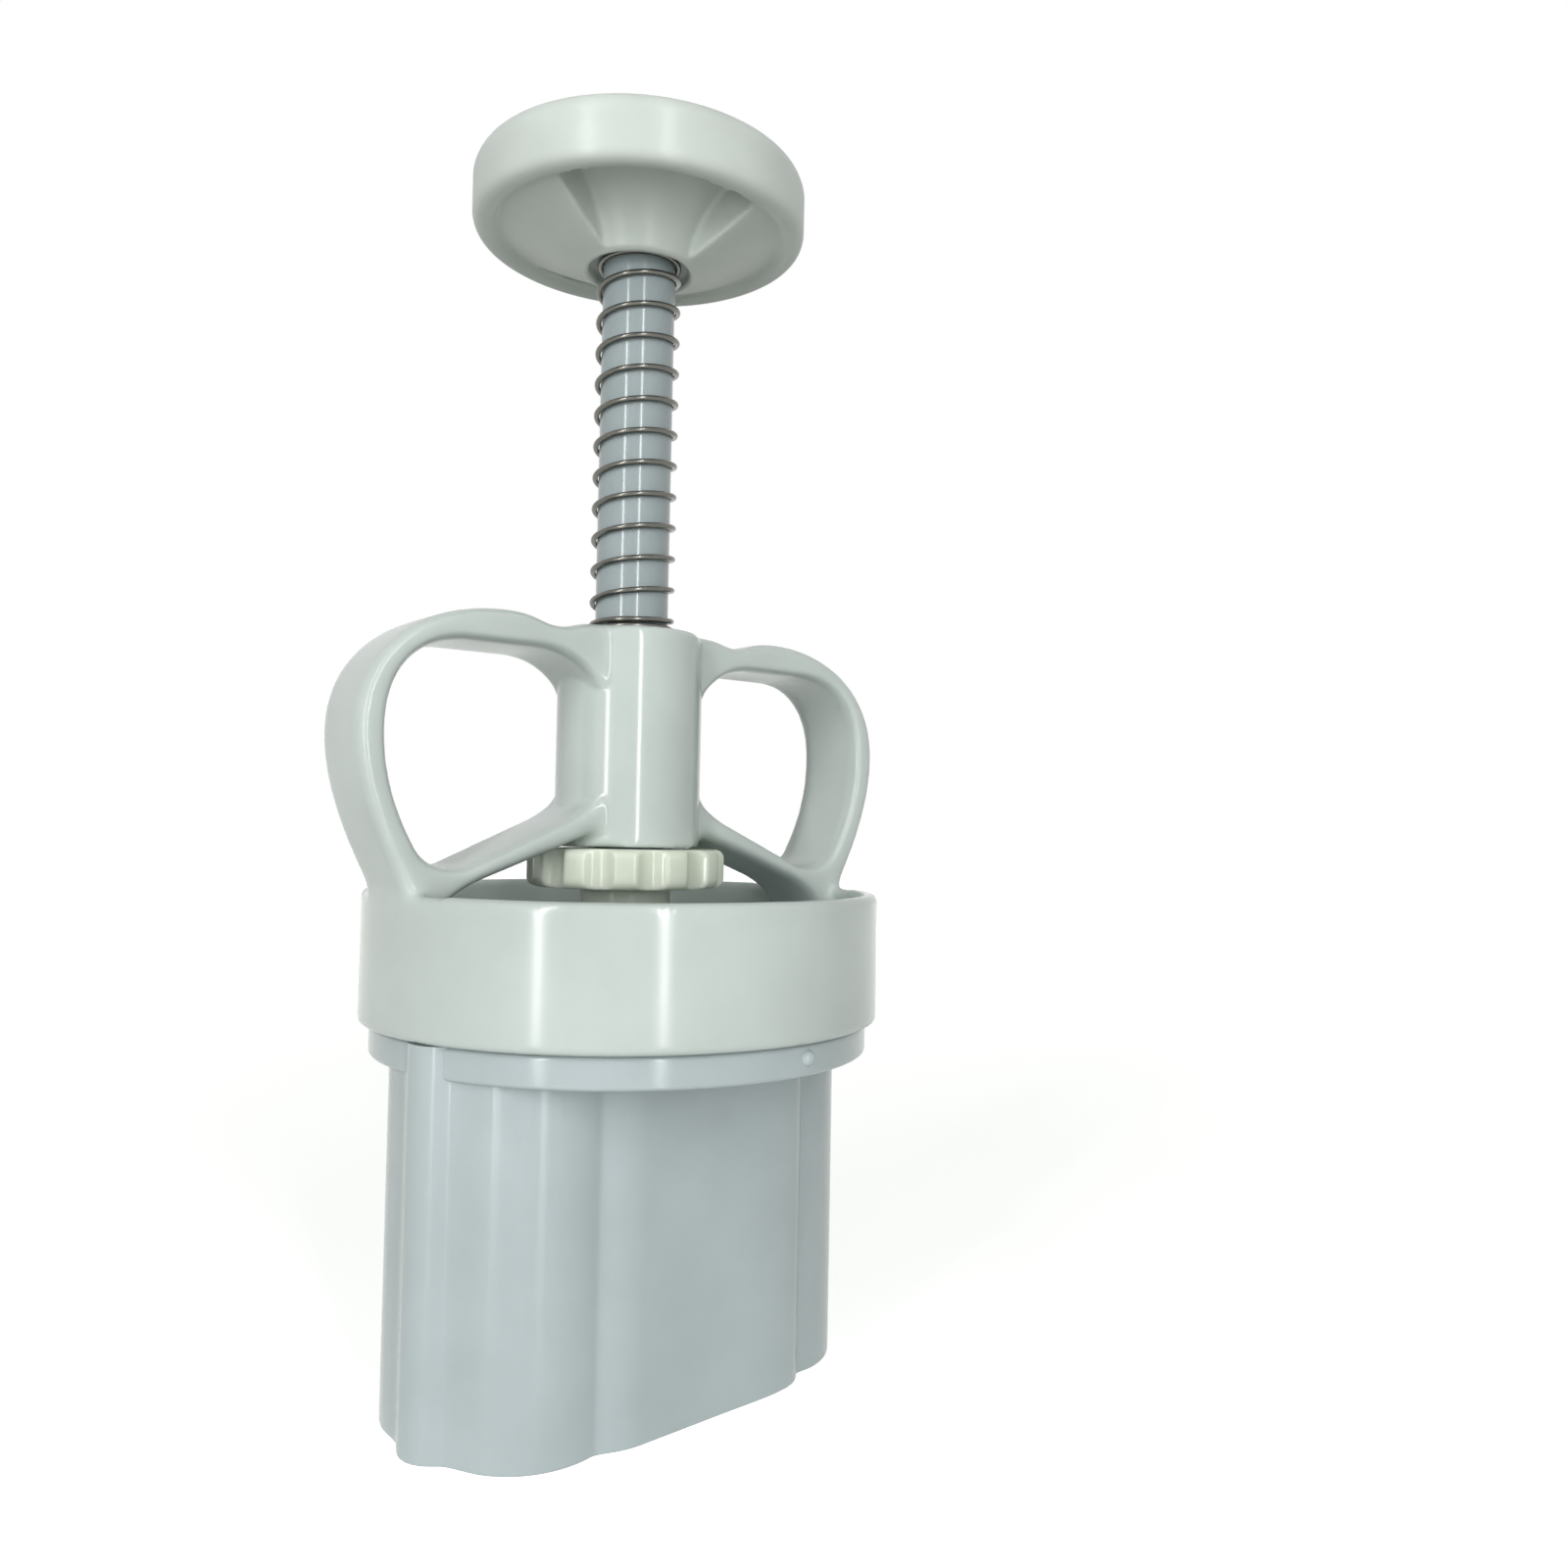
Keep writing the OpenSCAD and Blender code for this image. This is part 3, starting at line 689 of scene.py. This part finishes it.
class PRESS_OT_mould(bpy.types.Operator):
    """Model the mould: lantern tube, round flange, neck with its lugs, and the pip"""

    bl_idname = "press.mould"
    bl_label = "Mould"

    def execute(self, context):
        s = context.scene.press_mould
        turn = s.lantern_turn
        lantern = turned_by(lantern_outline(mm(s.lantern_length), mm(s.lantern_back)), turn)
        outside = grown(lantern, mm(s.gap + s.wall))
        inside = grown(lantern, mm(s.gap))
        flange_low = mm(s.tube_height)
        flange_high = mm(s.tube_height + s.flange_thickness)
        flange_r = mm(s.flange_radius)
        neck_r = mm(s.neck_radius)
        neck_top = mm(s.top)
        hidden_r = 10  # inside the cavity, which is cut out last
        neck_in, bevel = neck_r - 1.8, 0.3
        mouth_round, root_round = 0.55, 0.7
        tube = upright("mould_tube", outside, 0, flange_high - 0.05)
        rounded(tube, lambda ends, edge: all(p.z < 0.01 for p in ends), mouth_round)
        flange = lathed("mould_flange", (
            [(hidden_r, flange_low)]
            + quarter(flange_r, flange_low, 0.5, -90, 4)
            + quarter(flange_r, flange_high, 0.6, 0, 4)
            + [(neck_r, flange_high), (neck_r, neck_top - bevel), (neck_r - bevel, neck_top),
               (neck_in + bevel, neck_top), (neck_in, neck_top - bevel),
               (neck_in, flange_high), (hidden_r, flange_high)]
        ), 160)
        combined(tube, flange, "UNION")
        lug_in, lug_out = neck_r - 0.5, neck_r + 1.5
        lug_low, lug_high = neck_top - 3.95, neck_top - 1.35
        for i in range(LUGS):
            lug = lathed("lug", [
                (lug_in, lug_low), (lug_out - bevel, lug_low), (lug_out, lug_low + bevel),
                (lug_out, lug_high - bevel), (lug_out - bevel, lug_high), (lug_in, lug_high),
            ], 8, math.degrees(turn) + LUG_MIDDLE + 360 / LUGS * i, LUG_SPAN)
            combined(tube, lug, "UNION")
        pip_r, way, reach = 1.05, math.radians(-80), flange_r - 0.25
        bpy.ops.mesh.primitive_uv_sphere_add(
            segments=24, ring_count=16, radius=pip_r * MM, location=(
                reach * math.cos(way) * MM, reach * math.sin(way) * MM, (flange_low + 2.2) * MM,
            ),
        )
        bpy.ops.object.transform_apply(location=True)
        combined(tube, context.object, "UNION")
        cavity = upright("mould_cavity", inside, -1, neck_top + 2)
        combined(tube, cavity, "DIFFERENCE")

        def under_flange(ends, edge):
            """The corner between the tube and the flange's underside."""
            level = all(abs(p.z - flange_low) < 0.01 for p in ends)
            within = all(math.hypot(p.x, p.y) < flange_r - 1.6 for p in ends)
            return level and within and abs(edge.calc_face_angle()) > 1

        rounded(tube, under_flange, root_round)
        # the mould's colour holds painted shade: it is darker than the handle's plastic
        finished(tube, "mould_shell", "mould", "mould_plastic",
                 milky_plastic("natural_abs_mould", context.scene.press_finish.mould),
                 "mould_barrel", sharp=32)
        return {"FINISHED"}


class PRESS_OT_handle(bpy.types.Operator):
    """Model the handle: cap ring, guide sleeve and two finger loops, moulded in one"""

    bl_idname = "press.handle"
    bl_label = "Handle"

    def execute(self, context):
        s = context.scene.press_handle
        ring_r, low = mm(s.ring_radius), mm(s.ring_low)
        top = low + mm(s.ring_height)
        inner_r = ring_r - mm(s.ring_wall)
        seam = 0.12  # the skin's reach into the joint with the flange, which keeps it thin
        sleeve_low = top + mm(s.sleeve_lift)
        sleeve_top = sleeve_low + mm(s.sleeve_length)
        sleeve_r = mm(s.sleeve_radius)
        bore = mm(context.scene.press_plunger.rod_radius) + 0.06
        ring = (
            [(inner_r, low - seam)]
            + quarter(ring_r, low - seam, 0.5, -90, 4)
            + quarter(ring_r, top, 0.9, 0)
            + quarter(inner_r, top, 0.4, 90, 3)
        )
        sleeve = (
            [(bore, sleeve_low), (sleeve_r, sleeve_low)]
            + quarter(sleeve_r, sleeve_top, 0.7, 0, 4)
            + [(bore, sleeve_top)]
        )
        pieces = [lathed("cap_ring", ring, 256), lathed("sleeve", sleeve)]
        # ledges over which the lugs turn, and a stop at either end of their way
        turn = math.degrees(context.scene.press_mould.lantern_turn)
        root = inner_r + 0.5
        ledge = rectangle(inner_r - 1.6, root, low + 0.6, low + 3.6)
        stop = rectangle(inner_r - 1.5, root, low + 3.1, low + 6.4)
        ledge_span, stop_span = 70, 3
        for i in range(LUGS):
            locked = turn + LUG_MIDDLE + 360 / LUGS * i
            gap = locked + UNLOCK_TURN
            pieces.append(lathed("ledge", ledge, 32, gap + 180 / LUGS, ledge_span))
            pieces.append(lathed("stop", stop, 4, locked - 11.5, stop_span))
            pieces.append(lathed("stop", stop, 4, gap + 11.8, stop_span))
        for side in (1, -1):
            pieces += self.loop(s, side, ring_r, top, sleeve_top, bore)
        handle = fused(joined(*pieces), 0.42, 7)
        half = mm(s.loop_depth) / 2
        crease_x = math.sqrt(sleeve_r ** 2 - half ** 2)

        def by_the_sleeve(p):
            """Where the flat loops and arms run into the round sleeve."""
            loops_from, arms_to, arms_from, fade = 24, 17, 2, 4
            reach = math.hypot(abs(p.x) - crease_x - 0.6, (abs(p.y) - half) * 1.2)
            by_loop = ease((p.z - top - loops_from) / fade)
            by_arm = ease((top + arms_to - p.z) / fade) if p.z > top + arms_from else 0
            return max(by_loop, by_arm) * (1 - ease((reach - 1.2) / 2.6))

        def on_the_ring(p):
            """Where the loops' feet run into the cap ring."""
            reach = math.hypot(abs(p.x) - ring_r + 1.2, p.z - top - 0.4)
            return 0.9 * (1 - ease((reach - 2) / 4)) if abs(p.y) < half + 5 else 0

        softened(handle, by_the_sleeve, 26)
        softened(handle, on_the_ring, 22)
        trued(handle, ring_r, low + 0.4, top - 0.8)
        trued(handle, inner_r, low + 4, top - 0.4)
        trued(handle, sleeve_r, sleeve_low + 0.5, sleeve_top - 0.6)
        trued(handle, bore, sleeve_low, sleeve_top)
        finished(handle, "handle_shell", "handle", "handle_plastic",
                 milky_plastic("natural_abs_handle", context.scene.press_finish.handle),
                 "handle_body")
        return {"FINISHED"}

    def loop(self, s, side, ring_r, top, sleeve_top, bore):
        """One finger loop with its sloping arm, as slabs whose edges step back like a rounding."""
        out = mm(s.loop_reach)
        half = mm(s.loop_depth) / 2
        edge = mm(s.loop_edge)
        across = 1.5 * edge  # the rounding is wider across the band than it is deep
        middle, crown, dip = top + 19.5, sleeve_top + 0.35, sleeve_top - 0.9
        foot = ring_r - 0.9
        inner = bore + 1.2
        outer = (
            # from the sleeve through the dip to the crown
            [(inner, sleeve_top - 2), (7, sleeve_top - 2), (7, sleeve_top)]
            + bezier((9.2, sleeve_top), (11.5, sleeve_top - 0.3), (12, dip), (14, dip), 6)
            + bezier((14, dip), (16.5, dip), (17, crown), (21, crown), 6)
            # down the outside and in to the cap ring
            + bezier((21, crown), (31.5, crown), (out, crown - 6), (out, middle), 20)
            + bezier((out, middle), (out, top + 12.5), (ring_r + 2.6, top + 6.5),
                     (foot, top - 0.8), 16)
            # over the ring's edge, and along the arm's underside
            + [(foot, top - 7.5)]
            + bezier((31.8, top - 7), (30.5, top - 2.5), (28, top - 0.4), (24.5, top + 1.25), 10)
            + [(24.5, top + 1.25), (9, top + 7.2), (inner, top + 7.2)]
        )
        window = (
            # the corner over the ring, the outer side and the crown
            bezier((25.5, top + 3.4), (28, top + 2.6), (31, top + 3.2), (32.3, top + 5.5), 10)
            + bezier((32.3, top + 5.5), (34, top + 8.5), (36.3, top + 13), (36.3, middle), 14)
            + bezier((36.3, middle), (36.3, top + 26), (33, top + 30.7), (25.5, top + 30.7), 18)
            # the corners by the sleeve; the arm's top side closes it
            + bezier((17, top + 30.7), (12.5, top + 30.7), (8.2, top + 28.5), (7, top + 22.5), 10)
            + bezier((7, top + 16), (7.2, top + 12.5), (9.5, top + 10.4), (13.9, top + 8.5), 8)
        )
        slabs = []
        for turn in range(0, 90, 15):
            inset = edge * (1 - math.cos(math.radians(turn)))
            reach = half - across * (1 - math.sin(math.radians(turn)))
            slab = pulled("loop", [(side * x, -reach, z) for x, z in grown(outer[::-1], -inset)],
                          (0, 2 * reach, 0))
            hole = pulled("window", [(side * x, -half - 1, z) for x, z in grown(window, inset)],
                          (0, 2 * half + 2, 0))
            slabs.append(combined(slab, hole, "DIFFERENCE"))
        return slabs


class PRESS_OT_knob(bpy.types.Operator):
    """Model the palm knob: crowned disc, flared hub and two scooped pockets"""

    bl_idname = "press.knob"
    bl_label = "Palm Knob"

    def execute(self, context):
        s = context.scene.press_plunger
        r, low, high = mm(s.knob_radius), mm(s.knob_low), mm(s.knob_high)
        bore = mm(s.rod_radius) + 0.02
        mouth_r, hub_r = mm(s.mouth_radius), mm(s.hub_radius)
        rim, edge, lip = low + 4.5, high - 0.6, r - 3.1
        # the bore's steps, for the plug, the screw's head and shank, and the rod
        plug_r, head_r, shank_r = 5.05, 3.6, 1.8
        plug_seat, head_seat = high - 1.4, high - 4
        spring_seat = mm(context.scene.press_spring.high)
        rod_end = spring_seat + 7
        knob = lathed("knob", (
            [(mouth_r, low + 0.3), (mouth_r + 0.3, low), (hub_r - 0.3, low)]
            + bezier((hub_r, low + 0.3), (hub_r + 3, low + 1.2), (lip - 3, rim - 0.2),
                     (lip, rim + 1.1), 16)
            + quarter(lip, rim, 1.1, 180, 5)
            + quarter(r, rim, 1.6, -90)
            + arc((r - 2.8, edge - 2.8), 2.8, 0, 80, 8)
            + bezier((r - 4, edge + 0.05), (r - 8, edge + 0.4), (8, high), (5.1, high), 8)
            + [(plug_r, high), (plug_r, plug_seat), (head_r, plug_seat), (head_r, head_seat),
               (shank_r, head_seat), (shank_r, rod_end), (bore, rod_end), (bore, spring_seat),
               (mouth_r, spring_seat)]
        ), 160)
        # two pockets, with the two webs between them that join hub and rim
        pocket_in, pocket_out, pocket_span = hub_r + 0.6, lip - 0.9, 86
        for middle in (-27, 153):
            pocket = lathed("pocket", (
                [(pocket_in, low - 1), (pocket_in, low + 1)]
                + bezier((hub_r + 1.6, low + 3.4), (hub_r + 4, low + 8), (lip - 2.5, rim + 7),
                         (lip - 1.1, rim + 4.4), 12)
                + [(pocket_out, rim + 2), (pocket_out, low - 1)]
            ), 24, middle, pocket_span)
            combined(knob, pocket, "DIFFERENCE")
        fused(knob, 0.34, 6)
        trued(knob, r, rim + 1.2, edge - 2)
        finished(knob, "knob_shell", "plunger", "knob_plastic",
                 milky_plastic("natural_abs_knob", context.scene.press_finish.knob, gloss=0.42),
                 "palm_knob")
        return {"FINISHED"}


class PRESS_OT_rod(bpy.types.Operator):
    """Model the plunger rod: a smooth shaft with a rolled thread for the nut"""

    bl_idname = "press.rod"
    bl_label = "Rod"

    def execute(self, context):
        s = context.scene.press_plunger
        r, low, high = mm(s.rod_radius), mm(s.rod_low), mm(s.rod_high)
        thread_low, thread_high, pitch, groove = low + 2, low + 29.5, 2.5, 0.55
        row, bevel = 0.2, 0.4
        rows = int((thread_high - low) / row)
        # a screw hole in either end; the fine bore between them keeps the turned solid whole
        pilot_r, fine_r = 1.62, 0.4
        profile = (
            [(pilot_r, low), (r - bevel, low)]
            + [(r, low + bevel + (thread_high - low) * i / rows) for i in range(rows + 1)]
            + [(r, high - bevel), (r - 0.3, high), (pilot_r, high), (pilot_r, high - 14),
               (fine_r, high - 15), (fine_r, low + 13), (pilot_r, low + 12)]
        )
        rod = lathed("rod", profile, 72)
        # half width and flank of the groove as shares of the pitch, and its run-out
        half_width, flank, run_out = 0.32, 0.2, 1.5
        for vertex in rod.data.vertices:
            x, y, z = vertex.co / MM
            if abs(math.hypot(x, y) - r) < 0.01:
                phase = (z / pitch - math.atan2(y, x) / TURN) % 1
                cut = ease((half_width - abs(phase - 0.5)) / flank)
                cut *= ease((z - thread_low) / run_out) * ease((thread_high - z) / run_out)
                vertex.co.xy *= 1 - groove * cut / r
        finished(rod, "rod_shaft", "plunger", "rod_plastic",
                 milky_plastic("natural_abs_rod", context.scene.press_finish.rod), "plunger_rod",
                 sharp=40)
        return {"FINISHED"}


class PRESS_OT_nut(bpy.types.Operator):
    """Model the thickness nut: a turned disc with twelve lobes, and a collar below it"""

    bl_idname = "press.nut"
    bl_label = "Thickness Nut"

    def execute(self, context):
        s = context.scene.press_plunger
        r, end, high = mm(s.nut_radius), mm(s.collar_low), mm(s.nut_high)
        low = end + mm(s.collar_height)
        collar_r = mm(s.collar_radius)
        bore = mm(s.rod_radius) + 0.06
        bevel, edge = 0.3, 1.2
        nut = lathed("nut", (
            [(bore, end), (collar_r - bevel, end), (collar_r, end + bevel), (collar_r, low)]
            + quarter(r, low, edge, -90)
            + quarter(r, high, edge, 0)
            + [(bore, high)]
        ), 240)
        groove_r, groove_height, lobe_turn = 2.6, 8, -2
        reach = r + groove_r - mm(s.nut_groove)
        for i in range(s.nut_lobes):
            way = math.radians(lobe_turn + (i + 0.5) * 360 / s.nut_lobes)
            deselect()
            bpy.ops.mesh.primitive_cylinder_add(
                vertices=40, radius=groove_r * MM, depth=groove_height * MM, location=(
                    reach * math.cos(way) * MM, reach * math.sin(way) * MM, (low + high) / 2 * MM
                ),
            )
            combined(nut, context.object, "DIFFERENCE")
        fused(nut, 0.24, 4)
        # the nut's colour holds painted light: it is lighter than the other parts' plastic
        finished(nut, "nut_collar", "nut", "nut_plastic",
                 milky_plastic("natural_polypropylene_nut", context.scene.press_finish.nut,
                               cloud_mm=6, depth=0.7),
                 "thickness_nut")
        return {"FINISHED"}


class PRESS_OT_spring(bpy.types.Operator):
    """Wind the return spring: open curls between two closed ends"""

    bl_idname = "press.spring"
    bl_label = "Spring"

    def execute(self, context):
        s = context.scene.press_spring
        wire_d, pitch = mm(s.wire), mm(s.pitch)
        centre_r = (mm(s.diameter) - wire_d) / 2
        foot_gap, head_gap, curl_gap = 0.05, 0.02, 0.06
        low = mm(s.low) + wire_d / 2 + foot_gap
        high = mm(s.high) - wire_d / 2 - head_gap
        # in turns: where the curls open, and where they close again
        turns, steps = 13.4, 40
        opens, opening, closes, closing = 1.02, 0.35, 12.9, 0.45
        closed = wire_d + curl_gap
        rises = [
            closed + (pitch - closed) * ease((t - opens) / opening) * ease((closes - t) / closing)
            for t in (i / steps for i in range(int(turns * steps) + 1))
        ]
        climb = sum(rises) / steps
        stretch = (high - low) / climb
        deselect()
        bpy.ops.curve.primitive_nurbs_path_add(location=(0, 0, 0))
        coil = context.object
        curve = coil.data
        curve.splines.clear()
        spline = curve.splines.new("POLY")
        spline.points.add(len(rises) - 1)
        z = low
        for i, rise in enumerate(rises):
            a = s.start + TURN * i / steps
            spline.points[i].co = (
                centre_r * math.cos(a) * MM, centre_r * math.sin(a) * MM, z * MM, 1
            )
            z += rise / steps * stretch
        curve.dimensions = "3D"
        curve.twist_mode = "Z_UP"
        curve.bevel_depth = wire_d / 2 * MM
        curve.bevel_resolution = 5
        curve.use_fill_caps = True
        take(coil)
        bpy.ops.object.convert(target="MESH")
        bpy.ops.object.mode_set(mode="EDIT")
        closed_up()
        coil = context.object
        finished(coil, "spring_coil", "handle", "spring_steel",
                 drawn_steel("drawn_spring_steel", context.scene.press_finish.spring),
                 "return_spring", sharp=50)
        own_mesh(coil)
        return {"FINISHED"}


class PRESS_OT_stamp(bpy.types.Operator):
    """Model the stamp: a lantern plate with lip, bars, drops and pillars, and a socket behind"""

    bl_idname = "press.stamp"
    bl_label = "Stamp"

    def execute(self, context):
        s = context.scene.press_stamp
        mould = context.scene.press_mould
        self.turn = mould.lantern_turn
        face = mm(s.face)
        back = face + mm(s.thickness)
        self.field = face + mm(s.sink)
        lantern = lantern_outline(mm(mould.lantern_length), mm(mould.lantern_back))
        plate = upright("plate", turned_by(lantern, self.turn), face, back)
        field = upright("field", turned_by(grown(lantern, -mm(s.lip)), self.turn),
                        face - 1, self.field)
        combined(plate, field, "DIFFERENCE")
        solids = [plate]
        line_tall, bar_half, rib_half = 0.9, 0.55, 0.45
        # bars: place and half length
        for x, reach in ((11.9, 17.8), (-15.8, 14.2)):
            bar = rectangle(x - bar_half, x + bar_half, -reach, reach)
            solids.append(self.raised(bar, line_tall))
        # ribs round the drops: place, way of the point, length and width
        for x, way, drop_l, drop_w in ((12.2, 1, 15.1, 19.4), (-16.1, -1, 10.8, 14)):
            rib = drop_outline(drop_l, drop_w)
            outer = self.raised(self.placed(grown(rib, rib_half), x, way), line_tall)
            core = upright(
                "core", turned_by(self.placed(grown(rib, -rib_half), x, way), self.turn),
                face - 1, self.field,
            )
            solids.append(combined(outer, core, "DIFFERENCE"))
        # drops, domed in four steps: place, way of the point, length, width and height
        for x, way, drop_l, drop_w, tall in ((12.5, 1, 11.8, 12, 1.0), (-16.3, -1, 7.6, 6.8, 0.8)):
            drop = drop_outline(drop_l, drop_w)
            for share in (0.0, 0.5, 1.0, 1.5):
                step = self.placed(grown(drop, -0.55 * share), x, way)
                solids.append(self.raised(step, tall * (0.55 + 0.3 * share)))
        # pillars, in four steps: place across, length, widths at head and foot, and slant
        root, point = -12.4, 1.6
        for y, pillar_l, head, foot, slant in (
            (0, 19.8, 6.4, 4.8, 0), (8.1, 18.8, 4.4, 3.2, 1.8), (-8.1, 18.8, 4.4, 3.2, -1.8),
        ):
            pillar = [
                (root, y - foot / 2), (root + pillar_l, y + slant - head / 2),
                (root + pillar_l + point, y + slant), (root + pillar_l, y + slant + head / 2),
                (root, y + foot / 2),
            ]
            for step in range(4):
                solids.append(self.raised(grown(pillar, -0.2 * step), 0.7 + 0.2 * step))
        # the boss and its socket, round with two flats
        boss_r, socket_r, socket_half = 11.2, 9.1, 7.5
        solids.append(lathed("boss", rectangle(0.5, boss_r, back - 1, mm(s.top)), 96))
        stamp = fused(joined(*solids), 0.3, 4)
        flat = math.degrees(math.asin(socket_half / socket_r))
        socket = arc((0, 0), socket_r, -flat, flat, 20)
        socket += arc((0, 0), socket_r, 180 - flat, 180 + flat, 20)
        combined(stamp, upright("socket", turned_by(socket, self.turn), back, back + 20),
                 "DIFFERENCE")
        finished(stamp, "stamp_relief", "stamp", "stamp_plastic",
                 milky_plastic("natural_abs_stamp", context.scene.press_finish.stamp,
                               cloud_mm=10, gloss=0.3),
                 "stamp_plate", sharp=35)
        return {"FINISHED"}

    def placed(self, outline, x, way):
        """An outline moved along the lantern, and pointed the other way where way is -1."""
        points = [(x + way * px, py) for px, py in outline]
        return points if way == 1 else points[::-1]

    def raised(self, outline, tall):
        """A part of the pattern that stands up from the sunk field."""
        return upright("raised", turned_by(outline, self.turn), self.field - tall, self.field + 1)


class PRESS_OT_hardware(bpy.types.Operator):
    """Give the screws, the plug and the plunger's foot their finishes"""

    bl_idname = "press.hardware"
    bl_label = "Screws, Plug and Foot"

    def execute(self, context):
        f = context.scene.press_finish
        zinc = zinc_plate("zinc_plated_steel", f.screw)
        plug = milky_plastic("natural_abs_plug", f.knob, cloud_mm=6)
        foot = milky_plastic("natural_abs_foot", f.rod, cloud_mm=8)
        for node, material in (
            ("knob_screw", zinc), ("foot_screw", zinc), ("knob_plug", plug), ("plunger_foot", foot),
        ):
            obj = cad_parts[node]
            obj.data.materials.clear()
            obj.data.materials.append(material)
        return {"FINISHED"}


# ---------------- panel and registration


SETTINGS = {
    "press_mould": MouldSettings,
    "press_handle": HandleSettings,
    "press_plunger": PlungerSettings,
    "press_spring": SpringSettings,
    "press_stamp": StampSettings,
    "press_finish": FinishSettings,
}
OPERATORS = (
    PRESS_OT_camera, PRESS_OT_stage, PRESS_OT_mould, PRESS_OT_handle, PRESS_OT_knob, PRESS_OT_rod,
    PRESS_OT_nut, PRESS_OT_spring, PRESS_OT_stamp, PRESS_OT_hardware,
)


class PRESS_PT_build(bpy.types.Panel):
    """Lists the steps that build the press"""

    bl_idname = "PRESS_PT_build"
    bl_label = "Mooncake Press"
    bl_space_type = "VIEW_3D"
    bl_region_type = "UI"
    bl_category = "Press"

    def draw(self, context):
        for operator in OPERATORS:
            self.layout.operator(operator.bl_idname)
        for name in SETTINGS:
            settings = getattr(context.scene, name)
            box = self.layout.box()
            for prop in settings.bl_rna.properties:
                if prop.identifier not in ("rna_type", "name"):
                    box.prop(settings, prop.identifier)


def register():
    """Registers the settings, the operators and the panel."""
    for name, settings in SETTINGS.items():
        bpy.utils.register_class(settings)
        setattr(bpy.types.Scene, name, PointerProperty(type=settings))
    for cls in (*OPERATORS, PRESS_PT_build):
        bpy.utils.register_class(cls)


def unregister():
    """Takes them away again."""
    for cls in (PRESS_PT_build, *reversed(OPERATORS)):
        bpy.utils.unregister_class(cls)
    for name, settings in reversed(SETTINGS.items()):
        delattr(bpy.types.Scene, name)
        bpy.utils.unregister_class(settings)


def main():
    """Builds the press step by step."""
    register()
    for operator in OPERATORS:
        group, action = operator.bl_idname.split(".")
        getattr(getattr(bpy.ops, group), action)()


if __name__ == "__main__":
    main()
